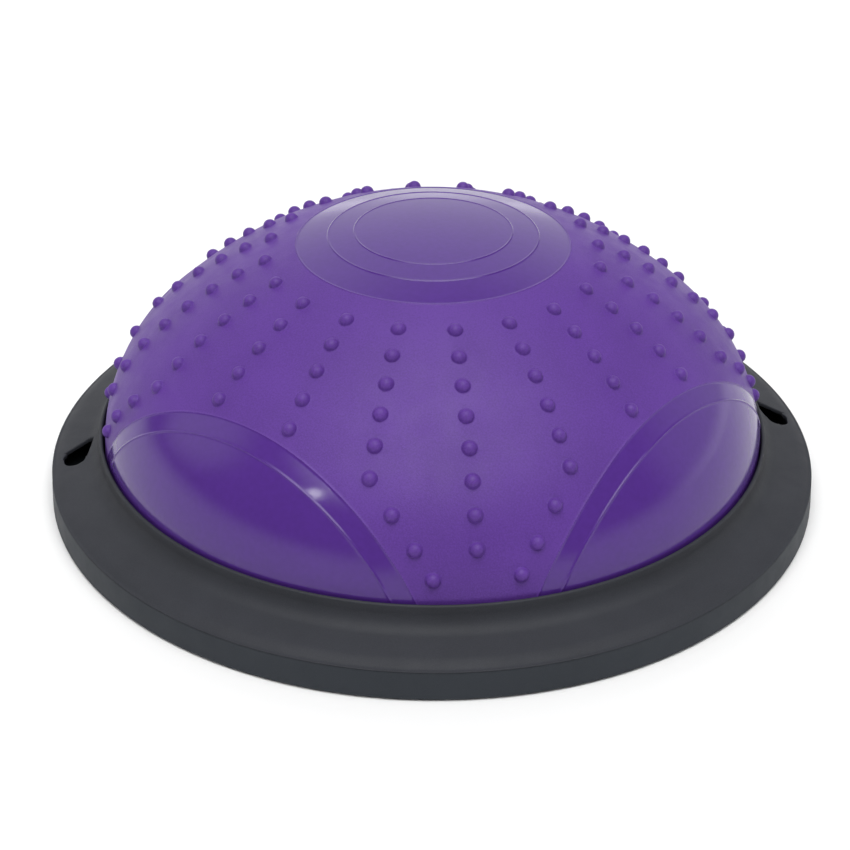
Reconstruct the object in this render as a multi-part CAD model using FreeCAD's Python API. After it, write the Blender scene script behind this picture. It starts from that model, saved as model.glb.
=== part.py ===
import FreeCAD, Part

import math
import os

# Balance dome trainer: an inflated dome clamped between a wide ring and a round base.
# Millimetres. +Z is up, the origin is on the floor under the middle of the base.
# The two band slots lie on the X axis. A row of eight nubs points along each of
# -Y, +X, +Y and -X.

V = FreeCAD.Vector
X_AXIS = V(1, 0, 0)
Z_AXIS = V(0, 0, 1)
ORIGIN = V(0, 0, 0)

# Heights of the stack, from the floor up
SKIRT_BOTTOM_Z = 1.0
PLATE_BOTTOM_Z = 2.5
PLATE_TOP_Z = 6.0
SEAT_TOP_Z = 9.5
SPIGOT_BOTTOM_Z = 16.0
SKIRT_TOP_Z = 22.3
RING_BOTTOM_Z = 22.6
DECK_BOTTOM_Z = 20.2
DECK_TOP_Z = 23.2
RING_UNDER_Z = 27.0
LIP_TOP_Z = 49.4

# Base, radii
BASE_R = 300.0
SKIRT_TOP_R = 298.7
SKIRT_WALL = 3.6
SKIRT_FOOT_BEVEL = 1.0
LEDGE_R = 297.4
LEDGE_IN_R = 295.4

# Ring section, as (r, z): lip, wide cove, sloping flange, rolled shoulder, narrow ledge
LIP_IN_R = 257.8
LIP_T = 3.0
LIP_FOOT = (261.7, 40.6)
COVE_MID = (263.8, 35.7)
FLANGE_IN = (268.4, 32.9)
FLANGE_OUT = (288.0, 27.9)
ROLL_MID = (292.6, 26.2)
ROLL_END = (296.3, 23.8)
LEDGE_EDGE = (298.0, 23.5)
RING_EDGE = (298.5, 23.1)
CLAMP_OUT_R = 264.0
UNDER_IN = (266.0, 29.9)
UNDER_OUT = (288.4, 24.6)
SPIGOT_OUT_R = 294.8
SPIGOT_IN_R = 292.0

# Bladder
DOME_R = 311.7
SHOULDER_R = 127.5
DOME_MAX_R = 256.8
DOME_TOP_Z = 213.8
DISC_R = 103.0
DISC_TOP_Z = 209.6
SKIN = 3.0
BEAD_R = 262.0
NUB_R = 5.4
NUB_FIRST = 130.0
NUB_STEP = 23.0
PANEL_HALF_W = 157.0
PANEL_HALF_H = 122.0
PANEL_MID_Z = 10.0
PANEL_PROUD = 0.8
PANELS = (45, 135, 225, 315)

# Nubs of one quarter, as (angle from the quarter's middle row, distance along the skin)
LONG_ROW = [(0.0, NUB_FIRST + NUB_STEP * k) for k in range(8)]
SIDE_ROW = [(18.0, NUB_FIRST + NUB_STEP * k) for k in range(6)]
BENT_END = [(13.6, 268.2), (9.7, 290.9), (6.8, 311.4)]
SHORT_ROW = [(35.7, NUB_FIRST + NUB_STEP * k) for k in range(5)]

# Keyhole slots on the -X side as (x, y, r) ends; the +X side is their mirror image
SLOT_WIDE = ((-281.5, -3.5, 7.8), (-279.8, -10.0, 8.2))
SLOT_NARROW = ((-277.5, -2.0, 7.0), (-271.0, 12.0, 3.2))
SLOT_CUT_Z = (24.0, 38.0)

# Screws, feet and ribs
SCREWS = 16
SCREW_CIRCLE_R = 277.0
SCREW_R = 2.0
SCREW_HEAD_R = 4.0
SCREW_HEAD_H = 2.6
SCREW_HEAD_ROUND = 0.9
SCREW_SEAT_Z = 6.0
SCREW_TIP_Z = 22.0
CROSS_LENGTH, CROSS_WIDTH, CROSS_DEPTH = 4.4, 1.0, 1.4
SEAT_R = 7.5
BOSS_R = 5.0
FEET = 8
FOOT_CIRCLE_R = 281.0
FOOT_R = 11.0
FOOT_TOP_Z = 4.0
FOOT_ROUND = 0.8
RIBS = 16
RIB_T = 2.5
ROUND_RIBS = (60.0, 110.0, 160.0, 208.0)
CLAMP_WALLS = ((252.8, 255.8), (259.5, 263.0))
GRIP_RIDGES = [76.0 + 18.0 * k for k in range(10)]
RIDGE_H = 0.9

# Valve
WELL_R = 24.0
WELL_WALL = 3.0
SOCKET_STEM_R = 8.5
SOCKET_FLANGE_R = 20.0
SOCKET_FLANGE_T = 2.0
SOCKET_BEVEL = 1.0
SOCKET_BOTTOM_Z = 13.0
VALVE_BORE_R = 4.0
PLUG_R = 3.93
PLUG_TOP_Z = 25.0
PLUG_HEAD_R = 8.5
PLUG_HEAD_H = 2.4
PLUG_EDGE = 0.5
TAB_LENGTH, TAB_WIDTH, TAB_HEIGHT = 10.0, 2.4, 4.2

# Play between parts, and how far a piece is drawn into its neighbour before they fuse
PLAY = 0.2
OVERLAP = 1.0


def point(r, z):
    """A point of a section drawn in the X-Z plane."""
    return V(r, 0, z)


def revolve(edges):
    """A solid of revolution about Z from the closed loop of section edges."""
    face = Part.Face(Part.Wire(edges))
    return face.revolve(ORIGIN, Z_AXIS, 360)


def polyline(points):
    """Straight edges through (r, z) points."""
    spots = [point(r, z) for r, z in points]
    return [Part.makeLine(a, b) for a, b in zip(spots, spots[1:])]


def polygon_of_revolution(points):
    return revolve(polyline(points + [points[0]]))


def arc(start, middle, end):
    return Part.Arc(point(*start), point(*middle), point(*end)).toShape()


def tube(r_in, r_out, z_low, z_high):
    return polygon_of_revolution([(r_in, z_low), (r_out, z_low), (r_out, z_high), (r_in, z_high)])


def post(x, y, radius, z_low, z_high):
    return Part.makeCylinder(radius, z_high - z_low, V(x, y, z_low), Z_AXIS)


def around(count, radius):
    """Evenly spaced places on a circle, half a step off the X axis."""
    for k in range(count):
        angle = 2 * math.pi * (k + 0.5) / count
        yield radius * math.cos(angle), radius * math.sin(angle)


def screw_places():
    return list(around(SCREWS, SCREW_CIRCLE_R))


def foot_places():
    return list(around(FEET, FOOT_CIRCLE_R))


# ------------------------------------------------------------------ bladder

def shoulder():
    """Polar angle where the shoulder arc meets the dome's sphere, and the arc's centre."""
    sphere_z = DOME_TOP_Z - DOME_R
    phi = math.asin((DOME_MAX_R - SHOULDER_R) / (DOME_R - SHOULDER_R))
    centre_r = (DOME_R - SHOULDER_R) * math.sin(phi)
    centre_z = sphere_z + (DOME_R - SHOULDER_R) * math.cos(phi)
    return phi, centre_r, centre_z


def on_sphere(phi, offset):
    radius = DOME_R + offset
    return radius * math.sin(phi), DOME_TOP_Z - DOME_R + radius * math.cos(phi)


def on_shoulder(phi, offset):
    _, centre_r, centre_z = shoulder()
    radius = SHOULDER_R + offset
    return centre_r + radius * math.sin(phi), centre_z + radius * math.cos(phi)


def on_skin(distance):
    """The dome's (r, z) and its slope angle, a distance along the skin from the pole."""
    phi_join = shoulder()[0]
    phi = distance / DOME_R
    if phi <= phi_join:
        return on_sphere(phi, 0.0), phi
    phi = phi_join + (distance - DOME_R * phi_join) / SHOULDER_R
    return on_shoulder(phi, 0.0), phi


def dome_section(offset, floor_z):
    """Section edges of the dome's outside moved by offset, closed along floor_z."""
    phi_join, centre_r, centre_z = shoulder()
    disc_edge = math.asin(DISC_R / DOME_R)
    edge = on_sphere(disc_edge, offset)
    pole = (0.0, DISC_TOP_Z + offset)
    middle = (edge[0] / 2, pole[1] - (pole[1] - edge[1]) / 4)
    join = on_sphere(phi_join, offset)
    foot_r = centre_r + math.sqrt((SHOULDER_R + offset) ** 2 - (centre_z - floor_z) ** 2)
    foot = (foot_r, floor_z)
    return [
        arc(pole, middle, edge),
        arc(edge, on_sphere((disc_edge + phi_join) / 2, offset), join),
        arc(join, on_shoulder(math.pi / 2, offset), foot),
    ] + polyline([foot, (0.0, floor_z), pole])


def nubs():
    """One ball for every nub, its middle on the dome's skin and its axis square to it."""
    quarter = list(LONG_ROW)
    for angle, distance in SIDE_ROW + BENT_END + SHORT_ROW:
        quarter += [(angle, distance), (-angle, distance)]
    balls = []
    for turn in (0, 90, 180, 270):
        for angle, distance in quarter:
            (r, z), slope = on_skin(distance)
            a = math.radians(turn + angle)
            outwards = V(math.sin(slope) * math.sin(a), -math.sin(slope) * math.cos(a), math.cos(slope))
            middle = V(r * math.sin(a), -r * math.cos(a), z)
            balls.append(Part.makeSphere(NUB_R, middle, outwards))
    return balls


def panel(turn_deg):
    """One smooth oval panel: the dome's skin moved outwards inside an ellipse."""
    raised = revolve(dome_section(PANEL_PROUD, RING_UNDER_Z))
    ellipse = Part.Ellipse(V(0, 0, 0), PANEL_HALF_W, PANEL_HALF_H).toShape()
    face = Part.Face(Part.Wire([ellipse]))
    face.rotate(ORIGIN, X_AXIS, 90)
    face.translate(V(0, -DOME_MAX_R / 2, PANEL_MID_Z))
    prism = face.extrude(V(0, -DOME_MAX_R, 0))
    prism.rotate(ORIGIN, Z_AXIS, turn_deg)
    return raised.common(prism)


def dome_bladder():
    """Closed PVC bladder: dome, floor and the bead that the ring clamps."""
    outside = revolve(dome_section(0.0, DECK_TOP_Z))
    bead = tube(CLAMP_WALLS[0][0] - SKIN, BEAD_R, DECK_TOP_Z, RING_UNDER_Z)
    solid = outside.fuse([bead] + [panel(turn) for turn in PANELS])
    solid = solid.fuse(nubs())
    air = revolve(dome_section(-SKIN, DECK_TOP_Z + SKIN))
    hole = post(0, 0, SOCKET_STEM_R + PLAY / 2, DECK_TOP_Z - OVERLAP, DECK_TOP_Z + SKIN + OVERLAP)
    return solid.cut([air, hole])


# ---------------------------------------------------------------- hard parts

def tapered_slot(wide, narrow):
    """Straight-sided hull of two circles, cut straight down."""
    (x1, y1, r1), (x2, y2, r2) = wide, narrow
    low, high = SLOT_CUT_Z
    span = math.hypot(x2 - x1, y2 - y1)
    heading = math.atan2(y2 - y1, x2 - x1)
    lean = math.acos((r1 - r2) / span)
    corners = []
    for side in (1, -1):
        a = heading + side * lean
        corners.append(V(x1 + r1 * math.cos(a), y1 + r1 * math.sin(a), low))
        corners.append(V(x2 + r2 * math.cos(a), y2 + r2 * math.sin(a), low))
    outline = Part.makePolygon([corners[0], corners[1], corners[3], corners[2], corners[0]])
    body = Part.Face(outline).extrude(V(0, 0, high - low))
    return body.fuse([post(x1, y1, r1, low, high), post(x2, y2, r2, low, high)])


def slot_cutter(mirror):
    """Keyhole: a wide end for a hook and a narrow end that holds the band."""
    cutter = tapered_slot(*SLOT_WIDE).fuse(tapered_slot(*SLOT_NARROW))
    return cutter.mirror(ORIGIN, X_AXIS) if mirror else cutter


def lip_edges():
    """Rounded top of the lip, then the wide cove that sweeps down into the flange."""
    half_t = LIP_T / 2
    lip_z = LIP_TOP_Z - half_t
    top = (LIP_IN_R + half_t, LIP_TOP_Z)
    return [
        arc((LIP_IN_R, lip_z), top, (LIP_IN_R + LIP_T, lip_z)),
        Part.makeLine(point(LIP_IN_R + LIP_T, lip_z), point(*LIP_FOOT)),
        arc(LIP_FOOT, COVE_MID, FLANGE_IN),
    ]


def top_ring():
    """Wide ring: raised lip round the dome, sloping flange, rolled shoulder, outer ledge."""
    edges = lip_edges()
    edges += polyline([FLANGE_IN, FLANGE_OUT])
    edges.append(arc(FLANGE_OUT, ROLL_MID, ROLL_END))
    edges += polyline([ROLL_END, LEDGE_EDGE, RING_EDGE, (RING_EDGE[0], RING_BOTTOM_Z),
                       (SPIGOT_OUT_R, RING_BOTTOM_Z), (SPIGOT_OUT_R, SPIGOT_BOTTOM_Z),
                       (SPIGOT_IN_R, SPIGOT_BOTTOM_Z), (SPIGOT_IN_R, RING_BOTTOM_Z), UNDER_OUT,
                       UNDER_IN, (CLAMP_OUT_R, RING_UNDER_Z), (LIP_IN_R, RING_UNDER_Z),
                       (LIP_IN_R, LIP_TOP_Z - LIP_T / 2)])
    ring = revolve(edges)
    bosses = [post(x, y, BOSS_R, SEAT_TOP_Z, RING_UNDER_Z + OVERLAP) for x, y in screw_places()]
    pilots = [post(x, y, SCREW_R + PLAY / 4, SEAT_TOP_Z - OVERLAP, SCREW_TIP_Z + 2 * OVERLAP)
              for x, y in screw_places()]
    ring = ring.fuse(bosses)
    return ring.cut(pilots + [slot_cutter(False), slot_cutter(True)])


def radial_rib(angle_deg, r_start, r_end, z_high):
    z_low = PLATE_TOP_Z - OVERLAP
    rib = Part.makeBox(r_end - r_start, RIB_T, z_high - z_low, V(r_start, -RIB_T / 2, z_low))
    rib.rotate(ORIGIN, Z_AXIS, angle_deg)
    return rib


def grip_ridge(r):
    """One low round ridge under the plate, trapezoid in section."""
    return polygon_of_revolution([
        (r - 2 * RIDGE_H, PLATE_BOTTOM_Z), (r - RIDGE_H, PLATE_BOTTOM_Z - RIDGE_H),
        (r + RIDGE_H, PLATE_BOTTOM_Z - RIDGE_H), (r + 2 * RIDGE_H, PLATE_BOTTOM_Z),
        (r, PLATE_BOTTOM_Z + OVERLAP)])


def base_platform():
    """Round tray: flat standing plate below, ribs and clamp walls inside, outer skirt."""
    skirt_in_r = BASE_R - SKIRT_WALL
    plate = tube(WELL_R, skirt_in_r + OVERLAP, PLATE_BOTTOM_Z, PLATE_TOP_Z)
    skirt = polygon_of_revolution([
        (skirt_in_r, SKIRT_BOTTOM_Z), (BASE_R - SKIRT_FOOT_BEVEL, SKIRT_BOTTOM_Z),
        (BASE_R, SKIRT_BOTTOM_Z + SKIRT_FOOT_BEVEL), (SKIRT_TOP_R, SKIRT_TOP_Z),
        (LEDGE_R, SKIRT_TOP_Z), (LEDGE_R, RING_BOTTOM_Z), (LEDGE_IN_R, RING_BOTTOM_Z),
        (LEDGE_IN_R, PLATE_TOP_Z)])
    walls = [tube(WELL_R, WELL_R + WELL_WALL, PLATE_BOTTOM_Z, DECK_BOTTOM_Z)]
    walls += [tube(r - RIB_T / 2, r + RIB_T / 2, PLATE_TOP_Z - OVERLAP, DECK_BOTTOM_Z)
              for r in ROUND_RIBS]
    walls += [tube(r_in, r_out, PLATE_TOP_Z - OVERLAP, DECK_TOP_Z) for r_in, r_out in CLAMP_WALLS]
    ribs = []
    for k in range(RIBS):
        angle = 360.0 * (k + 0.5) / RIBS
        inner_end = CLAMP_WALLS[0][0] + OVERLAP
        ribs.append(radial_rib(angle, WELL_R + OVERLAP, inner_end, DECK_BOTTOM_Z))
        outer_start = CLAMP_WALLS[0][1] - OVERLAP
        ribs.append(radial_rib(angle, outer_start, LEDGE_IN_R + OVERLAP, SEAT_TOP_Z))
    seats = [post(x, y, SEAT_R, PLATE_BOTTOM_Z, SEAT_TOP_Z) for x, y in screw_places()]
    tray = plate.fuse([skirt] + walls + ribs + seats + [grip_ridge(r) for r in GRIP_RIDGES])
    holes = []
    for x, y in screw_places():
        holes.append(post(x, y, SCREW_R + PLAY, SKIRT_BOTTOM_Z, SEAT_TOP_Z + OVERLAP))
        holes.append(post(x, y, SCREW_HEAD_R + 4 * PLAY, SKIRT_BOTTOM_Z, SCREW_SEAT_Z))
    holes += [post(x, y, FOOT_R + PLAY, SKIRT_BOTTOM_Z, FOOT_TOP_Z) for x, y in foot_places()]
    return tray.cut(holes)


def deck_plate():
    """Flat disc on the ribs that carries the bladder's floor."""
    return tube(SOCKET_STEM_R + 2 * PLAY, CLAMP_WALLS[0][0] - 2 * PLAY, DECK_BOTTOM_Z, DECK_TOP_Z)


def valve_socket():
    """Soft valve body: flange inside the bladder, stem down through floor and deck."""
    floor_z = DECK_TOP_Z + SKIN
    flange_z = floor_z + SOCKET_FLANGE_T
    return polygon_of_revolution([
        (VALVE_BORE_R, SOCKET_BOTTOM_Z), (SOCKET_STEM_R - SOCKET_BEVEL, SOCKET_BOTTOM_Z),
        (SOCKET_STEM_R, SOCKET_BOTTOM_Z + SOCKET_BEVEL), (SOCKET_STEM_R, floor_z),
        (SOCKET_FLANGE_R, floor_z), (SOCKET_FLANGE_R - SOCKET_BEVEL, flange_z),
        (VALVE_BORE_R + SOCKET_BEVEL, flange_z), (VALVE_BORE_R, flange_z - SOCKET_BEVEL)])


def valve_plug():
    """Air plug: stem in the socket's bore, flat head and a pull tab below it."""
    head_top = SOCKET_BOTTOM_Z - PLAY / 4
    head_low = head_top - PLUG_HEAD_H
    body = polygon_of_revolution([
        (0, head_low), (PLUG_HEAD_R - PLUG_EDGE, head_low), (PLUG_HEAD_R, head_low + PLUG_EDGE),
        (PLUG_HEAD_R, head_top - PLUG_EDGE), (PLUG_HEAD_R - PLUG_EDGE, head_top),
        (PLUG_R, head_top), (PLUG_R, PLUG_TOP_Z - 3 * PLUG_EDGE),
        (PLUG_R - 2 * PLUG_EDGE, PLUG_TOP_Z), (0, PLUG_TOP_Z)])
    corner = V(-TAB_LENGTH / 2, -TAB_WIDTH / 2, head_low - TAB_HEIGHT)
    tab = Part.makeBox(TAB_LENGTH, TAB_WIDTH, TAB_HEIGHT + OVERLAP, corner)
    tab = tab.makeFillet(PLUG_EDGE, tab.Edges)
    return body.fuse(tab)


def ring_screws():
    """Pan-head screws, driven up through the base into the ring's bosses."""
    screws = []
    for x, y in screw_places():
        head_low = SCREW_SEAT_Z - SCREW_HEAD_H
        head = post(x, y, SCREW_HEAD_R, head_low, SCREW_SEAT_Z)
        low_edges = [e for e in head.Edges if e.BoundBox.ZMax < SCREW_SEAT_Z - SCREW_HEAD_H / 2]
        head = head.makeFillet(SCREW_HEAD_ROUND, low_edges)
        shank = post(x, y, SCREW_R, SCREW_SEAT_Z - OVERLAP, SCREW_TIP_Z)
        tip_edges = [e for e in shank.Edges if e.BoundBox.ZMin > SCREW_TIP_Z - OVERLAP]
        shank = shank.makeChamfer(SCREW_R / 2, tip_edges)
        cross = [Part.makeBox(w, d, CROSS_DEPTH, V(x - w / 2, y - d / 2, head_low))
                 for w, d in ((CROSS_LENGTH, CROSS_WIDTH), (CROSS_WIDTH, CROSS_LENGTH))]
        screws.append(head.fuse(shank).cut(cross))
    return Part.makeCompound(screws)


def rubber_foot(x, y):
    foot = post(x, y, FOOT_R, 0.0, FOOT_TOP_Z)
    return foot.makeFillet(FOOT_ROUND, [e for e in foot.Edges if e.BoundBox.ZMax < FOOT_ROUND])


def export(name, shape):
    solids = shape.Solids
    shape = solids[0] if len(solids) == 1 else Part.makeCompound(solids)
    if not shape.isValid() or not solids:
        raise RuntimeError("invalid shape: " + name)
    shape.exportStep(os.path.join("parts", name + ".step"))
    box = shape.BoundBox
    print("%-16s solids %2d  volume %9.0f mm3  z %.1f to %.1f" % (
        name, len(solids), shape.Volume, box.ZMin, box.ZMax))


def main():
    os.makedirs("parts", exist_ok=True)
    export("dome_bladder", dome_bladder())
    export("top_ring", top_ring())
    export("base_platform", base_platform())
    export("deck_plate", deck_plate())
    export("valve_socket", valve_socket())
    export("valve_plug", valve_plug())
    export("ring_screws", ring_screws())
    for number, (x, y) in enumerate(foot_places(), start=1):
        export("rubber_foot_%d" % number, rubber_foot(x, y))


main()
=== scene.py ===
import math

import bmesh
import bpy
import numpy as np
from mathutils import Matrix, Vector
from mathutils.geometry import delaunay_2d_cdt


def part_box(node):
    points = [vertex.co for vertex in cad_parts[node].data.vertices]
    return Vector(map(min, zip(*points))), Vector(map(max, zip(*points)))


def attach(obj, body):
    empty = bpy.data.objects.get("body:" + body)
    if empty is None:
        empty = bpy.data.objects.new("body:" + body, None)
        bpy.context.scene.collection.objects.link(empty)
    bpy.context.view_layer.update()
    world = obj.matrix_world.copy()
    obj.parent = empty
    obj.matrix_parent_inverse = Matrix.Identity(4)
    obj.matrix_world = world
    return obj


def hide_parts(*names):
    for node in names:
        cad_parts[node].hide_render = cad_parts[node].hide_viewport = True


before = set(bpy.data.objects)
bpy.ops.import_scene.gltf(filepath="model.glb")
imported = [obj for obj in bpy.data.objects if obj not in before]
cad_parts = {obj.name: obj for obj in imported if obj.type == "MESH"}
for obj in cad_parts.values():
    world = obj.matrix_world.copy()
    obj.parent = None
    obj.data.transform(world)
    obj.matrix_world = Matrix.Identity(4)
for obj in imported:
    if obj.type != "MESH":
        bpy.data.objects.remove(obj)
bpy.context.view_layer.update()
MM = 0.001

# --------------------------------------------------------------- driving dimensions (metres)
# The dome's outside, as the CAD model has it: a sphere, a tighter shoulder, a flatter disc.
DOME_R = 0.3117
SHOULDER_R = 0.1275
DOME_MAX_R = 0.2568
SPHERE_TOP_Z = 0.2138
SKIN_T = 3.0 * MM
FLOOR_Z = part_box("dome_bladder")[0].z
BEAD_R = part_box("dome_bladder")[1].x
BEAD_T = 3.8 * MM
BEAD_BEVEL = 0.6 * MM
FOOT_Z = FLOOR_Z + BEAD_T
VALVE_HOLE_R = 8.6 * MM
FLOOR_ROW_R = 0.13
INSIDE_ROWS = 9
# Under the disc, which is flatter than the ball, the inside of the skin dips. The dip fades
# in between two angles from the pole, in radians.
DISC_DIP = 2 * SKIN_T
DIP_ANGLES = (0.35, 0.25)

# Top disc: a shallow cap in three zones, each (outer radius, slope inside, slope outside)
DISC_R = 0.103
DISC_ZONES = ((59.2 * MM, 0.0, 0.125), (79.0 * MM, 0.165, 0.185), (DISC_R, 0.255, 0.280))
DISC_SAMPLES = 413
RIDGE_H = 0.45 * MM
RIDGE_HALF_W = 0.9 * MM

# Glossy oval panels, centred between the rows of eight nubs, as (half width, half height).
# Their relief and their outlines fade out towards the ring, between two heights.
PANEL_MID_Z = 0.010
PANEL_OUTER = (0.157, 0.1223)
PANEL_INNER = (0.144, 0.1115)
PANEL_BAND = 0.014
PANEL_RISE = 1.3 * MM
PANEL_FADE = (0.040, 0.058)
LINE_FADE = (0.028, 0.034)
# A point's depth in the panel is found by halving a range
DEPTH_RANGE = (-4.0, 12.0)
DEPTH_HALVINGS = 36

# Nubs: balls sunk a little into the skin, with a small fillet round the foot
NUB_BALL_R = 5.4 * MM
NUB_SINK = 0.4 * MM
NUB_FILLET = 0.8 * MM
NUB_MARGIN = 1.1 * MM
NUB_FILLET_ROWS = 5
NUB_BALL_ROWS = (0.86, 0.70, 0.53, 0.36, 0.18)
NUB_POINTS, NUB_HALF_POINTS = 20, 11

# Rows of nubs, by distance along the skin from the pole and by angle from the long row
NUB_FIRST, NUB_STEP = 0.130, 0.0230
LONG_COUNT, SIDE_COUNT, SHORT_COUNT = 8, 6, 5
SIDE_ANGLE, SHORT_ANGLE = math.radians(18), math.radians(35.7)
BENT_END = ((0.2682, math.radians(13.6)), (0.2909, math.radians(9.7)),
            (0.3114, math.radians(6.8)))
QUARTER = math.radians(90)
HALF_QUARTER = math.radians(45)

PHI_JOIN = math.asin((DOME_MAX_R - SHOULDER_R) / (DOME_R - SHOULDER_R))
S_JOIN = DOME_R * PHI_JOIN
SHOULDER_MID_R = DOME_MAX_R - SHOULDER_R
SHOULDER_MID_Z = SPHERE_TOP_Z - DOME_R + (DOME_R - SHOULDER_R) * math.cos(PHI_JOIN)
PHI_FOOT = math.acos((FOOT_Z - SHOULDER_MID_Z) / SHOULDER_R)
S_FOOT = S_JOIN + SHOULDER_R * (PHI_FOOT - PHI_JOIN)
S_DISC = DOME_R * math.asin(DISC_R / DOME_R)

# Spacing of the dome's points
RING_START, RING_STEP, DISC_MARGIN = 4 * MM, 4.5 * MM, 2 * MM
SKIN_START, SKIN_RINGS = S_DISC + 4 * MM, 56
SKIN_COLUMNS, LEAST_COLUMNS = 48, 4
NUB_CLEAR, RIDGE_CLEAR, LINE_CLEAR = 1.6 * MM, 2.2 * MM, 2.4 * MM
RIDGE_ROWS = (1.5, 1.0, 0.6, 0.25)
LINE_ROWS = (-1.9, -1.0, -0.6, -0.25, 0.0, 0.25, 0.6, 1.0, 1.9)
LINE_POINTS, LINE_PAST = 112, 0.05
LINE_FOOT_GAP = 0.5 * MM

# Flat points go to the triangulation in millimetres. It keeps all triangles or, for the
# dome, only those inside the outline.
PER_METRE = 1000
ALL_TRIANGLES, INSIDE_TRIANGLES = 0, 1
DOME_CLOSENESS, RING_CLOSENESS = 1e-6, 1e-7
SAME_ANGLE, SAME_PLACE = 1e-7, 1e-9
POLE_R = 1e-6
DOME_WELD, RING_WELD = 0.02 * MM, 0.01 * MM


# ------------------------------------------------------------------------- small helpers

def new_object(name, mesh):
    """A mesh as an object of the scene."""
    piece = bpy.data.objects.new(name, mesh)
    bpy.context.scene.collection.objects.link(piece)
    return piece


def smoothstep(low, high, value):
    """0 at low, 1 at high, with a soft start and end."""
    t = np.clip((value - low) / (high - low), 0.0, 1.0)
    return t * t * (3 - 2 * t)


# ------------------------------------------------------------------- the dome's bare shape

def disc_height(r):
    """Height of the top disc over its rim at radius r."""
    radii = np.linspace(0.0, DISC_R, DISC_SAMPLES)
    slopes = np.zeros_like(radii)
    inner_r = 0.0
    for outer_r, slope_in, slope_out in DISC_ZONES:
        zone = (radii >= inner_r) & (radii <= outer_r)
        slopes[zone] = np.interp(radii[zone], (inner_r, outer_r), (slope_in, slope_out))
        inner_r = outer_r
    steps = (slopes[1:] + slopes[:-1]) / 2 * np.diff(radii)
    heights = np.append(np.cumsum(steps[::-1])[::-1], 0.0)
    return np.interp(r, radii, heights)


def bare_skin(s):
    """(r, z, tilt of the normal from vertical) at distance s along the skin from the pole."""
    on_ball = s <= S_JOIN
    phi = np.where(on_ball, s / DOME_R, PHI_JOIN + (s - S_JOIN) / SHOULDER_R)
    r = np.where(on_ball, DOME_R * np.sin(phi), SHOULDER_MID_R + SHOULDER_R * np.sin(phi))
    z = np.where(on_ball, SPHERE_TOP_Z - DOME_R + DOME_R * np.cos(phi),
                 SHOULDER_MID_Z + SHOULDER_R * np.cos(phi))
    on_disc = s < S_DISC
    disc_r = DISC_R * s / S_DISC
    rim_z = SPHERE_TOP_Z - DOME_R + math.sqrt(DOME_R ** 2 - DISC_R ** 2)
    r = np.where(on_disc, disc_r, r)
    z = np.where(on_disc, rim_z + disc_height(disc_r), z)
    return r, z, phi


def panel_halves(depth):
    """Half width and half height of the panel's oval at a depth, as panel_depth gives it."""
    return [inner + (outer - inner) * depth for inner, outer in zip(PANEL_INNER, PANEL_OUTER)]


def panel_depth(r, z, a):
    """0 on a panel's inner outline, 1 on its outer one, less inside, more outside."""
    u = r * np.sin(HALF_QUARTER - a)
    w = z - PANEL_MID_Z
    low, high = (np.full_like(u, limit) for limit in DEPTH_RANGE)
    for _ in range(DEPTH_HALVINGS):
        k = (low + high) / 2
        half_w, half_h = panel_halves(k)
        outside = (u / half_w) ** 2 + (w / half_h) ** 2 > 1
        low, high = np.where(outside, k, low), np.where(outside, high, k)
    return (low + high) / 2


def ridge(distance):
    """Height of a fine moulded ridge at a distance from its middle."""
    t = np.clip(np.abs(distance) / RIDGE_HALF_W, 0.0, 1.0)
    return RIDGE_H * (1 - t * t) ** 2


def relief(s, a):
    """Height of the disc's ridges and the panels over the bare skin."""
    r, z, _ = bare_skin(s)
    height = sum(ridge(s - edge_r * S_DISC / DISC_R) for edge_r, _, _ in DISC_ZONES)
    k = panel_depth(r, z, a)
    panel = PANEL_RISE * np.clip(1 - k, 0.0, 1.0)
    lines = ridge((k - 1) * PANEL_BAND) + ridge(k * PANEL_BAND)
    return height + panel * smoothstep(*PANEL_FADE, z) + lines * smoothstep(*LINE_FADE, z)


# --------------------------------------------------------- points of one eighth of the dome

def nub_profile():
    """(distance from the nub's middle, height) from the skin up over the nub to its top."""
    mid_r = math.sqrt((NUB_BALL_R + NUB_FILLET) ** 2 - (NUB_FILLET + NUB_SINK) ** 2)
    turn = math.atan2(mid_r, NUB_FILLET + NUB_SINK)
    rows = [(mid_r + NUB_MARGIN, 0.0)]
    for part in np.linspace(0.0, 1.0, NUB_FILLET_ROWS):
        b = turn * part
        rows.append((mid_r - NUB_FILLET * math.sin(b), NUB_FILLET * (1 - math.cos(b))))
    start = math.atan2(rows[-1][0], rows[-1][1] + NUB_SINK)
    for part in NUB_BALL_ROWS:
        b = start * part
        rows.append((NUB_BALL_R * math.sin(b), NUB_BALL_R * math.cos(b) - NUB_SINK))
    return rows


def nub_row(count, angle):
    return [(NUB_FIRST + NUB_STEP * k, angle) for k in range(count)]


def nubs_of_eighth():
    """Nubs as (distance along the skin, angle): the long row, then those inside the eighth."""
    inside = nub_row(SIDE_COUNT, SIDE_ANGLE) + list(BENT_END) + nub_row(SHORT_COUNT, SHORT_ANGLE)
    return nub_row(LONG_COUNT, 0.0), inside


def add_nubs(points):
    """Rings of points round each nub. Nubs on the edge of the eighth get half rings."""
    profile = nub_profile()
    on_edge, inside = nubs_of_eighth()
    for nubs, turn, count in ((on_edge, math.pi, NUB_HALF_POINTS), (inside, 2 * math.pi, NUB_POINTS)):
        for s0, a0 in nubs:
            stretch = s0 / float(bare_skin(np.array(s0))[0])
            for rho, height in profile:
                for b in np.linspace(0, turn, count, endpoint=turn == math.pi):
                    ds, across = rho * math.cos(b), rho * math.sin(b) * stretch
                    points.append((s0 + ds, a0 + math.atan2(across, s0 + ds), height))
            points.append((s0, a0, NUB_BALL_R - NUB_SINK))
    return on_edge + inside


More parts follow.
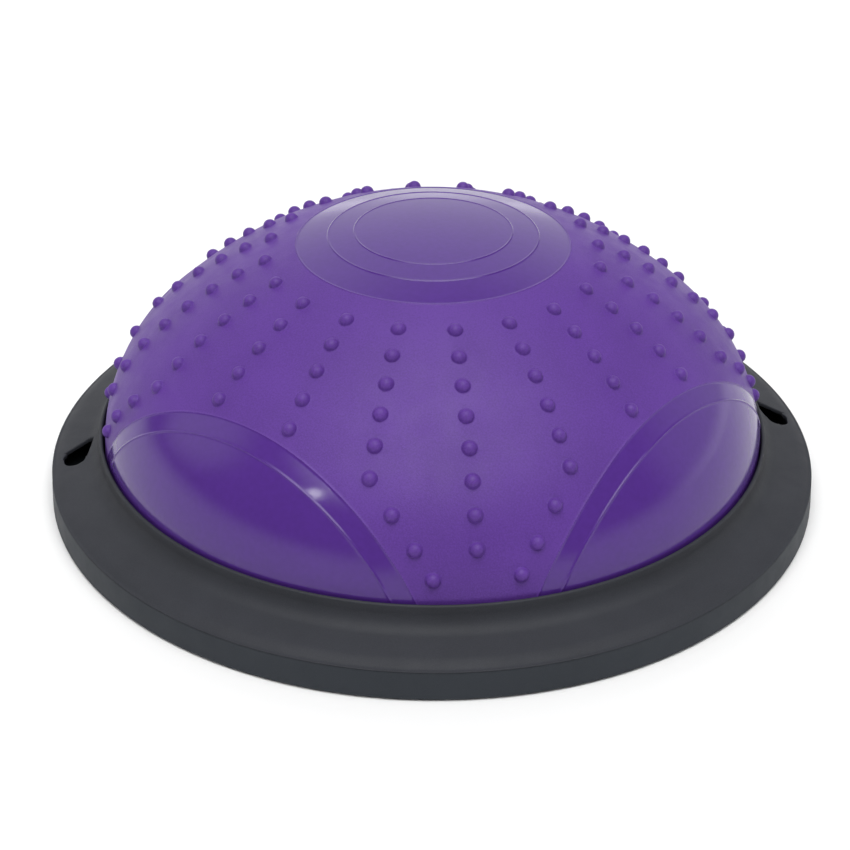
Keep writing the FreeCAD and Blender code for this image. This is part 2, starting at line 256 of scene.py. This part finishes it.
def add_rings(points, nubs):
    """Plain rings of points, left out near the nubs and the panels' outlines."""
    keep_off = nub_profile()[0][0] + NUB_CLEAR
    circles = [(s, False) for s in np.arange(RING_START, S_DISC - DISC_MARGIN, RING_STEP)]
    circles += [(s, True) for s in np.linspace(SKIN_START, S_FOOT, SKIN_RINGS)]
    for edge_r, _, _ in DISC_ZONES:
        middle = edge_r * S_DISC / DISC_R
        circles = [circle for circle in circles if abs(circle[0] - middle) > RIDGE_CLEAR]
        circles += [(middle + side * RIDGE_HALF_W * f, True)
                    for side in (-1, 1) for f in RIDGE_ROWS]
        circles.append((middle, True))
    for s, fine in circles:
        columns = SKIN_COLUMNS if fine else max(LEAST_COLUMNS, int(s / RING_STEP * math.pi / 4))
        a = np.linspace(0.0, HALF_QUARTER, columns + 1)
        s_all = np.full_like(a, s)
        r, z, _ = bare_skin(s_all)
        k = panel_depth(r, z, a)
        near_line = np.minimum(np.abs(k), np.abs(k - 1)) * PANEL_BAND < LINE_CLEAR
        clear = ~near_line | (z < LINE_FADE[0])
        for s0, a0 in nubs:
            r0 = float(bare_skin(np.array(s0))[0])
            clear &= np.hypot(s_all - s0, (a - a0) * r0) > keep_off
        if abs(s - S_FOOT) < SAME_PLACE:
            clear[:] = True
        points += [(s, float(angle), None) for angle in a[clear]]


def add_panel_lines(points):
    """Rows of points along and beside both outlines of the panel."""
    for line in (0.0, 1.0):
        for off in LINE_ROWS:
            half_w, half_h = panel_halves(line + off * RIDGE_HALF_W / PANEL_BAND)
            for t in np.linspace(0.0, math.pi / 2 + LINE_PAST, LINE_POINTS):
                u = half_w * math.sin(t)
                z = PANEL_MID_Z + half_h * math.cos(t)
                if z < FOOT_Z + LINE_FOOT_GAP:
                    continue
                s = distance_at_height(z)
                r = float(bare_skin(np.array(s))[0])
                points.append((s, HALF_QUARTER - math.asin(u / r), None))


def distance_at_height(z):
    """Distance along the skin where the ball or the shoulder has height z."""
    phi = math.acos(min(1.0, (z - SPHERE_TOP_Z + DOME_R) / DOME_R))
    if phi <= PHI_JOIN:
        return DOME_R * phi
    return S_JOIN + SHOULDER_R * (math.acos((z - SHOULDER_MID_Z) / SHOULDER_R) - PHI_JOIN)


def eighth_of_dome():
    """(points as s, a, nub height; triangles) of the skin between a = 0 and 45 degrees."""
    points = [(0.0, 0.0, None)]
    nubs = add_nubs(points)
    add_rings(points, nubs)
    add_panel_lines(points)
    s = np.array([p[0] for p in points])
    a = np.array([p[1] for p in points])
    lift = np.array([0.0 if p[2] is None else p[2] for p in points])
    a = np.where(np.abs(a) < SAME_ANGLE, 0.0, a)
    a = np.where(np.abs(a - HALF_QUARTER) < SAME_ANGLE, HALF_QUARTER, a)
    flat = np.stack([s * np.cos(a), s * np.sin(a)], -1) * PER_METRE
    order = np.arange(len(s))
    pole = order[s == 0]
    first = order[(a == 0.0) & (s > 0)]
    foot = order[(np.abs(s - S_FOOT) < SAME_PLACE) & (a > 0) & (a < HALF_QUARTER)]
    last = order[(a == HALF_QUARTER) & (s > 0)]
    outline = (list(pole) + list(first[np.argsort(s[first])]) + list(foot[np.argsort(a[foot])])
               + list(last[np.argsort(-s[last])]))
    result = delaunay_2d_cdt([Vector(p) for p in flat], [], [[int(i) for i in outline]],
                             INSIDE_TRIANGLES, DOME_CLOSENESS)
    back = [origin[0] for origin in result[3]]
    triangles = np.array([[back[i] for i in face] for face in result[2]])
    return s, a, lift, triangles


# ------------------------------------------------------------------------ the whole dome

def skin_points(s, a, lift):
    """Points of the outside in space."""
    r, z, phi = bare_skin(s)
    height = lift + relief(s, a)
    r = r + height * np.sin(phi)
    z = z + height * np.cos(phi)
    return np.stack([r * np.sin(a), -r * np.cos(a), z], -1)


def turned(points, turn, mirrored):
    """Points mirrored in X = 0 if asked, then turned about Z."""
    x = -points[:, 0] if mirrored else points[:, 0]
    c, s = math.cos(turn), math.sin(turn)
    return np.stack([c * x - s * points[:, 1], s * x + c * points[:, 1], points[:, 2]], -1)


def lathe_rows():
    """Rings from the skin's foot out over the bead, in under the floor, up and back inside."""
    inside_r = SHOULDER_R - SKIN_T
    low = FLOOR_Z + SKIN_T
    rows = [(BEAD_R - BEAD_BEVEL, FOOT_Z), (BEAD_R, FOOT_Z - BEAD_BEVEL),
            (BEAD_R, FLOOR_Z + BEAD_BEVEL), (BEAD_R - BEAD_BEVEL, FLOOR_Z),
            (FLOOR_ROW_R, FLOOR_Z), (VALVE_HOLE_R, FLOOR_Z), (VALVE_HOLE_R, low), (FLOOR_ROW_R, low)]
    start = math.acos((low - SHOULDER_MID_Z) / inside_r)
    for phi in np.linspace(start, PHI_JOIN, INSIDE_ROWS):
        rows.append((SHOULDER_MID_R + inside_r * math.sin(phi),
                     SHOULDER_MID_Z + inside_r * math.cos(phi)))
    radius = DOME_R - SKIN_T
    for phi in np.linspace(PHI_JOIN, 0.0, INSIDE_ROWS)[1:]:
        dip = DISC_DIP * smoothstep(*DIP_ANGLES, phi)
        rows.append((radius * math.sin(phi), SPHERE_TOP_Z - DOME_R + radius * math.cos(phi) - dip))
    return rows


def close_dome(work):
    """Carry the skin on from its foot round the bead, floor and inside to the pole."""
    foot = sorted((v for v in work.verts if v.is_boundary), key=lambda v: math.atan2(v.co.y, v.co.x))
    last_row = foot
    columns = len(foot)
    for row_r, row_z in lathe_rows():
        if row_r < POLE_R:
            top = work.verts.new((0, 0, row_z))
            for j in range(columns):
                work.faces.new((last_row[j], last_row[(j + 1) % columns], top))
            break
        row = []
        for v in foot:
            scale = row_r / math.hypot(v.co.x, v.co.y)
            row.append(work.verts.new((v.co.x * scale, v.co.y * scale, row_z)))
        for j in range(columns):
            n = (j + 1) % columns
            work.faces.new((last_row[j], last_row[n], row[n], row[j]))
        last_row = row


def dome_mesh():
    """One closed mesh: eight turned copies of the skin, then the bead, floor and inside."""
    s, a, lift, triangles = eighth_of_dome()
    points = skin_points(s, a, lift)
    r, z, _ = bare_skin(s)
    depth = panel_depth(r, z, a)[triangles].mean(axis=1)
    smooth = (depth < 1) | (s[triangles].mean(axis=1) < S_DISC)
    verts, faces, glossy = [], [], []
    for k in range(4):
        for mirrored in (False, True):
            start = len(verts) * len(s)
            verts.append(turned(points, k * QUARTER, mirrored))
            faces.append((triangles[:, ::-1] if mirrored else triangles) + start)
            glossy.append(smooth)
    mesh = bpy.data.meshes.new("dome_skin")
    mesh.from_pydata(np.concatenate(verts).tolist(), [], np.concatenate(faces).tolist())
    mesh.polygons.foreach_set("material_index", np.concatenate(glossy).astype(np.int32))
    work = bmesh.new()
    work.from_mesh(mesh)
    bmesh.ops.remove_doubles(work, verts=work.verts, dist=DOME_WELD)
    close_dome(work)
    bmesh.ops.recalc_face_normals(work, faces=work.faces)
    bmesh.ops.triangulate(work, faces=[f for f in work.faces if len(f.verts) > 3])
    work.to_mesh(mesh)
    work.free()
    mesh.polygons.foreach_set("use_smooth", [True] * len(mesh.polygons))
    return mesh


# ---------------------------------------------------------------------------- the ring

# Its section as (r, z) points: lip, wide cove, sloping flange, rolled shoulder, narrow ledge
LIP_IN_R, LIP_T, LIP_TOP_Z = 257.8 * MM, 3.0 * MM, 49.4 * MM
LIP_STRAIGHT = 6 * MM
LIP_FOOT, COVE_MID = (261.2 * MM, 45.0 * MM), (264.2 * MM, 36.4 * MM)
FLANGE_IN, FLANGE_OUT = (272.0 * MM, 31.6 * MM), (288.0 * MM, 27.9 * MM)
ROLL_MID, ROLL_END = (292.6 * MM, 26.2 * MM), (296.3 * MM, 23.9 * MM)
LEDGE_EDGE, RING_EDGE = (298.1 * MM, 23.5 * MM), (298.6 * MM, 23.1 * MM)
EDGE_MID = (LEDGE_EDGE[0] + 0.36 * MM, LEDGE_EDGE[1] - 0.14 * MM)
RING_LOW_Z, SPIGOT_LOW_Z, UNDER_Z = 22.6 * MM, 16.0 * MM, 27.0 * MM
SPIGOT_R = (294.8 * MM, 292.0 * MM)
UNDER_OUT, UNDER_IN, CLAMP_OUT_R = (288.4 * MM, 24.6 * MM), (266.0 * MM, 29.9 * MM), 264.0 * MM
LIP_STEPS, LIP_SIDE_STEPS, COVE_STEPS, FLANGE_STEPS = 10, 3, 12, 6
ROLL_STEPS, LEDGE_STEPS, EDGE_STEPS = 7, 3, 4
RING_COLUMNS = 720
CREASE_ANGLE = math.radians(35)

# Keyhole slot on -X: the hulls of two circles each, as (x, y, r)
SLOT_WIDE = ((-281.9 * MM, -4.0 * MM, 7.7 * MM), (-280.3 * MM, -9.4 * MM, 8.2 * MM))
SLOT_NARROW = ((-278.2 * MM, 0.8 * MM, 8.6 * MM), (-269.2 * MM, 15.0 * MM, 2.4 * MM))
SLOT_HEART = (-278.6 * MM, -4.0 * MM)
SLOT_BLEND = 1.0 * MM
SLOT_REACH = 40 * MM
SLOT_HALVINGS = 30
SLOT_POINTS = 120
SLOT_SECTOR = 14
# The slot's upper edge is rounded, by rows of points at these shares of its radius
SLOT_ROUND = 1.1 * MM
ROUND_ROWS = (0.0, 0.1, 0.22, 0.4, 0.65, 1.0, 1.5, 2.2)
SHARP_ROWS = (0.0, 1.0)
SLOT_CLEAR = 3.2 * SLOT_ROUND
SLIVER = 1e-4 * MM * MM


def through_three(a, b, c, count):
    """Points after a along the circle through a, b and c, up to c."""
    (ax, ay), (bx, by), (cx, cy) = a, b, c
    d = 2 * (ax * (by - cy) + bx * (cy - ay) + cx * (ay - by))
    sa, sb, sc = ax * ax + ay * ay, bx * bx + by * by, cx * cx + cy * cy
    ox = (sa * (by - cy) + sb * (cy - ay) + sc * (ay - by)) / d
    oy = (sa * (cx - bx) + sb * (ax - cx) + sc * (bx - ax)) / d
    radius = math.hypot(ax - ox, ay - oy)
    start, end = math.atan2(ay - oy, ax - ox), math.atan2(cy - oy, cx - ox)
    if end - start > math.pi:
        end -= 2 * math.pi
    if start - end > math.pi:
        end += 2 * math.pi
    return [(ox + radius * math.cos(start + (end - start) * k / count),
             oy + radius * math.sin(start + (end - start) * k / count))
            for k in range(1, count + 1)]


def between(a, b, count):
    """Points after a along the straight line to b."""
    return [(a[0] + (b[0] - a[0]) * k / count, a[1] + (b[1] - a[1]) * k / count)
            for k in range(1, count + 1)]


def ring_rows():
    """Closed section of the ring; its spans from cove to roll on top and on the underside."""
    half = LIP_T / 2
    lip_z = LIP_TOP_Z - half
    rows = [(LIP_IN_R, UNDER_Z), (LIP_IN_R, lip_z - LIP_STRAIGHT), (LIP_IN_R, lip_z)]
    for k in range(1, LIP_STEPS + 1):
        t = math.pi * (1 - k / LIP_STEPS)
        rows.append((LIP_IN_R + half + half * math.cos(t), lip_z + half * math.sin(t)))
    rows += between(rows[-1], LIP_FOOT, LIP_SIDE_STEPS)
    top_first = len(rows) - 1
    rows += through_three(LIP_FOOT, COVE_MID, FLANGE_IN, COVE_STEPS)
    rows += between(FLANGE_IN, FLANGE_OUT, FLANGE_STEPS)
    rows += through_three(FLANGE_OUT, ROLL_MID, ROLL_END, ROLL_STEPS)
    top_last = len(rows) - 1
    rows += between(ROLL_END, LEDGE_EDGE, LEDGE_STEPS)
    rows += through_three(LEDGE_EDGE, EDGE_MID, RING_EDGE, EDGE_STEPS)
    rows += [(RING_EDGE[0], RING_LOW_Z), (SPIGOT_R[0], RING_LOW_Z), (SPIGOT_R[0], SPIGOT_LOW_Z),
             (SPIGOT_R[1], SPIGOT_LOW_Z), (SPIGOT_R[1], RING_LOW_Z)]
    under_first = len(rows) - 1
    rows += [UNDER_OUT, UNDER_IN, (CLAMP_OUT_R, UNDER_Z)]
    return rows, (top_first, top_last), (under_first, under_first + 2)


def capsule_distance(x, y, ends):
    """Signed distance to the hull of two circles given as (x, y, r)."""
    (x1, y1, r1), (x2, y2, r2) = ends
    dx, dy = x2 - x1, y2 - y1
    span = math.hypot(dx, dy)
    along = ((x - x1) * dx + (y - y1) * dy) / span
    across = abs((x - x1) * dy - (y - y1) * dx) / span
    lean = (r1 - r2) / span
    upright = math.sqrt(1 - lean * lean)
    reach = along + across * lean / upright
    if reach < 0:
        return math.hypot(x - x1, y - y1) - r1
    if reach > span:
        return math.hypot(x - x2, y - y2) - r2
    return across * upright + along * lean - r1


def slot_distance(x, y):
    """Signed distance to the left slot's outline, its inner corners a little rounded."""
    a, b = capsule_distance(x, y, SLOT_WIDE), capsule_distance(x, y, SLOT_NARROW)
    h = max(SLOT_BLEND - abs(a - b), 0.0) / SLOT_BLEND
    return min(a, b) - h * h * SLOT_BLEND / 4


def slot_outline(offset):
    """Points round the slot at a distance outside its outline."""
    outline = []
    for k in range(SLOT_POINTS):
        t = 2 * math.pi * k / SLOT_POINTS
        low, high = 0.0, SLOT_REACH
        for _ in range(SLOT_HALVINGS):
            middle = (low + high) / 2
            x = SLOT_HEART[0] + middle * math.cos(t)
            y = SLOT_HEART[1] + middle * math.sin(t)
            if slot_distance(x, y) < offset:
                low = middle
            else:
                high = middle
        outline.append((SLOT_HEART[0] + low * math.cos(t), SLOT_HEART[1] + low * math.sin(t)))
    return outline


def height_on(section, r):
    """Height of a section, given as (r, z) points, at radius r."""
    points = sorted(section)
    return float(np.interp(r, [p[0] for p in points], [p[1] for p in points]))


def slot_patch(work, grid, low, high, rows, span, rounded):
    """Fill one sector of the ring's sheet, with the slot cut out of it; its rim vertices."""
    first, last = span
    edge = [grid[j][first] for j in range(low, high + 1)]
    edge += [grid[high][i] for i in range(first + 1, last + 1)]
    edge += [grid[j][last] for j in range(high - 1, low - 1, -1)]
    edge += [grid[low][i] for i in range(last - 1, first, -1)]
    verts = list(edge)
    for offset in ROUND_ROWS if rounded else SHARP_ROWS:
        for x, y in slot_outline(offset * SLOT_ROUND):
            left = SLOT_ROUND * max(1 - offset, 0.0) if rounded else 0.0
            drop = SLOT_ROUND - math.sqrt(SLOT_ROUND ** 2 - left ** 2)
            z = height_on(rows[first:last + 1], math.hypot(x, y)) - drop
            verts.append(work.verts.new((x, y, z)))
    rim = verts[len(edge):len(edge) + SLOT_POINTS]
    for j in range(low + 1, high):
        verts += [grid[j][i] for i in range(first + 1, last)
                  if slot_distance(grid[j][i].co.x, grid[j][i].co.y) > SLOT_CLEAR]
    spots = [(v.co.x, v.co.y) for v in verts]
    border = list(range(len(edge)))
    hole = list(range(len(edge), len(edge) + SLOT_POINTS))
    result = delaunay_2d_cdt([Vector((x * PER_METRE, y * PER_METRE)) for x, y in spots], [],
                             [border, hole], ALL_TRIANGLES, RING_CLOSENESS)
    back = [origin[0] for origin in result[3]]
    for face in result[2]:
        corners = [spots[back[i]] for i in face]
        (x1, y1), (x2, y2), (x3, y3) = corners
        area = abs((x2 - x1) * (y3 - y1) - (x3 - x1) * (y2 - y1)) / 2
        x, y = (x1 + x2 + x3) / 3, (y1 + y2 + y3) / 3
        if area > SLIVER and slot_distance(x, y) > 0 and inside_polygon(x, y, spots[:len(edge)]):
            work.faces.new([verts[back[i]] for i in face])
    return rim


def inside_polygon(x, y, corners):
    """Whether a point lies in a polygon, by the edges to its right."""
    inside = False
    for (x1, y1), (x2, y2) in zip(corners, corners[1:] + corners[:1]):
        if (y1 > y) != (y2 > y) and x < x1 + (x2 - x1) * (y - y1) / (y2 - y1):
            inside = not inside
    return inside


def half_ring(work):
    """The half of the ring on -X, with its slot."""
    rows, top, under = ring_rows()
    count = len(rows)
    half = RING_COLUMNS // 2
    grid = []
    for j in range(half + 1):
        a = math.pi / 2 + math.pi * j / half
        grid.append([work.verts.new((r * math.cos(a), r * math.sin(a), z)) for r, z in rows])
    low, high = half // 2 - SLOT_SECTOR, half // 2 + SLOT_SECTOR
    for j in range(half):
        for i in range(count):
            n = (i + 1) % count
            if low <= j < high and (top[0] <= i < top[1] or under[0] <= i < under[1]):
                continue
            work.faces.new((grid[j][i], grid[j][n], grid[j + 1][n], grid[j + 1][i]))
    rim = slot_patch(work, grid, low, high, rows, top, True)
    under_rim = slot_patch(work, grid, low, high, rows, under, False)
    for k in range(SLOT_POINTS):
        n = (k + 1) % SLOT_POINTS
        work.faces.new((rim[k], rim[n], under_rim[n], under_rim[k]))
    bmesh.ops.delete(work, geom=[v for v in work.verts if not v.link_faces], context="VERTS")


def ring_mesh():
    """The half on -X and its mirror image, welded into one closed mesh."""
    work = bmesh.new()
    half_ring(work)
    copy = bmesh.ops.duplicate(work, geom=work.verts[:] + work.edges[:] + work.faces[:])["geom"]
    for v in copy:
        if isinstance(v, bmesh.types.BMVert):
            v.co.x = -v.co.x
    bmesh.ops.remove_doubles(work, verts=work.verts, dist=RING_WELD)
    bmesh.ops.recalc_face_normals(work, faces=work.faces)
    mesh = bpy.data.meshes.new("ring_body")
    work.to_mesh(mesh)
    work.free()
    mesh.polygons.foreach_set("use_smooth", [True] * len(mesh.polygons))
    mesh.set_sharp_from_angle(angle=CREASE_ANGLE)
    return mesh


# -------------------------------------------------------------------------------- materials

# Noise scales are per metre, or per metre for a grain of 1 mm
CLOUD_SCALE, SMUDGE_SCALE, WAVE_SCALE = 22.0, 60.0, 14.0
SPECK_SCALE, GRAIN_SCALE = 700.0, 1000.0
GRAIN_STRENGTH = 0.6
WAVE_DEPTH, WAVE_STRENGTH = 0.4 * MM, 0.25
METAL_CLOUD_SCALE, METAL_GRAIN_SCALE = 300.0, 900.0
METAL_DEPTH, METAL_STRENGTH = 0.05 * MM, 0.5
METAL_SHADE = 0.8


def node_material(name):
    """A new material with its node tree, its shader and the object's coordinates."""
    material = bpy.data.materials.new(name)
    material.use_nodes = True
    tree = material.node_tree
    shader = tree.nodes["Principled BSDF"]
    coords = tree.nodes.new("ShaderNodeTexCoord").outputs["Object"]
    return material, tree, shader, coords


def noise(tree, coords, per_metre, detail=3.0, rough=0.5):
    """Noise of about so many cells in a metre."""
    node = tree.nodes.new("ShaderNodeTexNoise")
    node.inputs["Scale"].default_value = per_metre
    node.inputs["Detail"].default_value = detail
    node.inputs["Roughness"].default_value = rough
    tree.links.new(coords, node.inputs["Vector"])
    return node.outputs["Fac"]


def spread(tree, value, low, high, start=0.3, end=0.7, kind="LINEAR"):
    """A value mapped from start and end to low and high. Most noise lies in 0.3 to 0.7."""
    node = tree.nodes.new("ShaderNodeMapRange")
    node.interpolation_type = kind
    node.inputs["From Min"].default_value = start
    node.inputs["From Max"].default_value = end
    node.inputs["To Min"].default_value = low
    node.inputs["To Max"].default_value = high
    tree.links.new(value, node.inputs["Value"])
    return node.outputs["Result"]


def two_tone(tree, factor, dark, light):
    """A colour between a dark and a light one."""
    node = tree.nodes.new("ShaderNodeMix")
    node.data_type = "RGBA"
    node.inputs["A"].default_value = (*dark, 1)
    node.inputs["B"].default_value = (*light, 1)
    tree.links.new(factor, node.inputs["Factor"])
    return node.outputs["Result"]


def bump(tree, height, distance, strength, under=None):
    """Bumps up to a distance in metres, over those of another bump node if given."""
    node = tree.nodes.new("ShaderNodeBump")
    node.inputs["Distance"].default_value = distance
    node.inputs["Strength"].default_value = strength
    tree.links.new(height, node.inputs["Height"])
    if under is not None:
        tree.links.new(under, node.inputs["Normal"])
    return node.outputs["Normal"]


def plus(tree, first, second):
    """The sum of two values."""
    node = tree.nodes.new("ShaderNodeMath")
    tree.links.new(first, node.inputs[0])
    tree.links.new(second, node.inputs[1])
    return node.outputs[0]


def moulded(name, colour, tint, roughness, grain_mm, grain_depth, specular=0.5):
    """Moulded plastic or rubber: fine grain, faint cloudiness in colour and gloss."""
    material, tree, shader, coords = node_material(name)
    cloud = spread(tree, noise(tree, coords, CLOUD_SCALE, 4.0), 0.2, 0.8)
    speck = spread(tree, noise(tree, coords, SPECK_SCALE / grain_mm, 1.0), -0.5, 0.5)
    dark = tuple(c * (1 - tint) for c in colour)
    light = tuple(c * (1 + tint) for c in colour)
    tone = two_tone(tree, plus(tree, cloud, speck), dark, light)
    tree.links.new(tone, shader.inputs["Base Color"])
    smudge = noise(tree, coords, SMUDGE_SCALE, 5.0, 0.6)
    tree.links.new(spread(tree, smudge, *roughness), shader.inputs["Roughness"])
    shader.inputs["Specular IOR Level"].default_value = specular
    grain = noise(tree, coords, GRAIN_SCALE / grain_mm, 2.0)
    fine = bump(tree, grain, grain_depth, GRAIN_STRENGTH)
    wave = bump(tree, noise(tree, coords, WAVE_SCALE, 2.0), WAVE_DEPTH, WAVE_STRENGTH, fine)
    tree.links.new(wave, shader.inputs["Normal"])
    return material


def metal(name, colour, roughness):
    """Zinc-plated steel: cloudy in colour and gloss, with a fine grain."""
    material, tree, shader, coords = node_material(name)
    cloud = noise(tree, coords, METAL_CLOUD_SCALE, 4.0)
    dark = tuple(METAL_SHADE * c for c in colour)
    tree.links.new(two_tone(tree, spread(tree, cloud, 0, 1), dark, colour),
                   shader.inputs["Base Color"])
    tree.links.new(spread(tree, cloud, *roughness), shader.inputs["Roughness"])
    shader.inputs["Metallic"].default_value = 1.0
    grain = bump(tree, noise(tree, coords, METAL_GRAIN_SCALE), METAL_DEPTH, METAL_STRENGTH)
    tree.links.new(grain, shader.inputs["Normal"])
    return material


# Base colours, linear
PURPLE = (0.101, 0.035, 0.264)
DEEP_PURPLE = (0.077, 0.025, 0.222)
CHARCOAL = (0.029, 0.031, 0.038)
SLATE = (0.024, 0.029, 0.037)

skin_matte = moulded("bladder_matte", PURPLE, 0.10, (0.44, 0.56), 0.8, 0.20 * MM, 0.28)
skin_gloss = moulded("bladder_gloss", DEEP_PURPLE, 0.04, (0.10, 0.16), 3.0, 0.02 * MM, 0.40)
ring_look = moulded("ring_satin", CHARCOAL, 0.14, (0.54, 0.64), 0.5, 0.05 * MM, 0.25)
base_look = moulded("base_satin", SLATE, 0.10, (0.54, 0.64), 0.5, 0.05 * MM, 0.28)
LOOKS = {
    "top_ring": ring_look,
    "base_platform": base_look,
    "deck_plate": moulded("deck_plain", (0.05, 0.05, 0.055), 0.1, (0.5, 0.6), 0.8, 0.05 * MM),
    "valve_socket": moulded("valve_soft", PURPLE, 0.05, (0.45, 0.55), 0.8, 0.05 * MM),
    "valve_plug": moulded("plug_white", (0.72, 0.71, 0.68), 0.04, (0.28, 0.40), 0.8, 0.03 * MM),
    "ring_screws": metal("screw_zinc", (0.62, 0.62, 0.64), (0.25, 0.45)),
}
foot_look = moulded("foot_rubber", (0.022, 0.022, 0.024), 0.1, (0.65, 0.8), 0.6, 0.08 * MM)


def dress(node, material):
    """Give a CAD node its finished material."""
    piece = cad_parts[node]
    if not piece.material_slots:
        piece.data.materials.append(material)
    for slot in piece.material_slots:
        slot.material = material


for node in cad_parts:
    if node.startswith("rubber_foot"):
        dress(node, foot_look)
    elif node in LOOKS:
        dress(node, LOOKS[node])

dome = new_object("dome_skin", dome_mesh())
dome.data.materials.append(skin_matte)
dome.data.materials.append(skin_gloss)
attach(dome, "trainer")
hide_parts("dome_bladder")

ring = new_object("ring_body", ring_mesh())
ring.data.materials.append(ring_look)
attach(ring, "trainer")
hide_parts("top_ring")

# ------------------------------------------------------------------------ floor and studio

FLOOR_HALF = 30.0
FLOOR_CLOUD_SCALE = 1.5
FLOOR_DARK, FLOOR_LIGHT = (0.88, 0.88, 0.88), (0.90, 0.90, 0.90)
FLOOR_ROUGHNESS, FLOOR_SPECULAR = 0.8, 0.2


def floor_piece():
    """A plain pale floor."""
    mesh = bpy.data.meshes.new("floor")
    h = FLOOR_HALF
    mesh.from_pydata([(-h, -h, 0), (h, -h, 0), (h, h, 0), (-h, h, 0)], [], [(0, 1, 2, 3)])
    piece = new_object("floor", mesh)
    material, tree, shader, coords = node_material("floor_white")
    tone = two_tone(tree, noise(tree, coords, FLOOR_CLOUD_SCALE), FLOOR_DARK, FLOOR_LIGHT)
    tree.links.new(tone, shader.inputs["Base Color"])
    shader.inputs["Roughness"].default_value = FLOOR_ROUGHNESS
    shader.inputs["Specular IOR Level"].default_value = FLOOR_SPECULAR
    mesh.materials.append(material)


# Soft patches of light, as (azimuth, elevation, bright radius, outer radius, strength) with
# angles in degrees; azimuth 0 is the camera's side and 90 is on +X.
SOFT_PATCHES = (
    (0, 74, 16, 38, 4.1),
    (180, 20, 24, 46, 0.88),
    (105, 14, 12, 34, 0.60),
    (252, 30, 6, 24, 0.85),
    (310.6, 45.6, 1.5, 3.2, 17.0),
)
ROOM_GLOW = 0.11
# Haze as (elevation where it starts to fade, elevation where it has gone, strength)
HAZE = (1.0, 9.0, 0.85)


def direction(azimuth, elevation):
    """Unit vector towards an azimuth and an elevation in degrees."""
    a, e = math.radians(azimuth), math.radians(elevation)
    return Vector((math.sin(a) * math.cos(e), -math.cos(a) * math.cos(e), math.sin(e)))


def studio_world():
    """A dim room with soft patches of light and a pale haze low on the horizon."""
    world = bpy.data.worlds.new("studio")
    bpy.context.scene.world = world
    world.use_nodes = True
    tree = world.node_tree
    coords = tree.nodes.new("ShaderNodeTexCoord").outputs["Generated"]
    split = tree.nodes.new("ShaderNodeSeparateXYZ")
    tree.links.new(coords, split.inputs["Vector"])
    haze_low, haze_high, haze_strength = HAZE
    total = spread(tree, split.outputs["Z"], haze_strength, ROOM_GLOW,
                   math.sin(math.radians(haze_low)), math.sin(math.radians(haze_high)),
                   "SMOOTHSTEP")
    for azimuth, elevation, bright, outer, strength in SOFT_PATCHES:
        dot = tree.nodes.new("ShaderNodeVectorMath")
        dot.operation = "DOT_PRODUCT"
        dot.inputs[1].default_value = direction(azimuth, elevation)
        tree.links.new(coords, dot.inputs[0])
        patch = spread(tree, dot.outputs["Value"], 0.0, strength,
                       math.cos(math.radians(outer)), math.cos(math.radians(bright)),
                       "SMOOTHSTEP")
        total = plus(tree, total, patch)
    background = tree.nodes["Background"]
    tree.links.new(total, background.inputs["Strength"])
    background.inputs["Color"].default_value = (1.0, 1.0, 1.0, 1)


CAMERA_AIM = Vector((-0.00546, 0.0006, 0.0367))
CAMERA_AZIMUTH = -6.914
CAMERA_ELEVATION = 30.566
CAMERA_DISTANCE = 1.4695
CAMERA_ROLL = math.radians(0.291)
SENSOR_MM, LENS_MM = 36.0, 78.304


def studio_camera():
    """The camera, at a distance from the point it aims at, turned a little on its axis."""
    lens = bpy.data.cameras.new("camera")
    lens.sensor_width = SENSOR_MM
    lens.lens = LENS_MM
    camera = bpy.data.objects.new("camera", lens)
    bpy.context.scene.collection.objects.link(camera)
    out = direction(CAMERA_AZIMUTH, CAMERA_ELEVATION)
    turn = (-out).to_track_quat("-Z", "Y").to_matrix().to_4x4()
    roll = Matrix.Rotation(CAMERA_ROLL, 4, "Z")
    camera.matrix_world = Matrix.Translation(CAMERA_AIM + out * CAMERA_DISTANCE) @ turn @ roll
    bpy.context.scene.camera = camera


floor_piece()
studio_world()
studio_camera()
bpy.context.scene.view_settings.view_transform = "Standard"
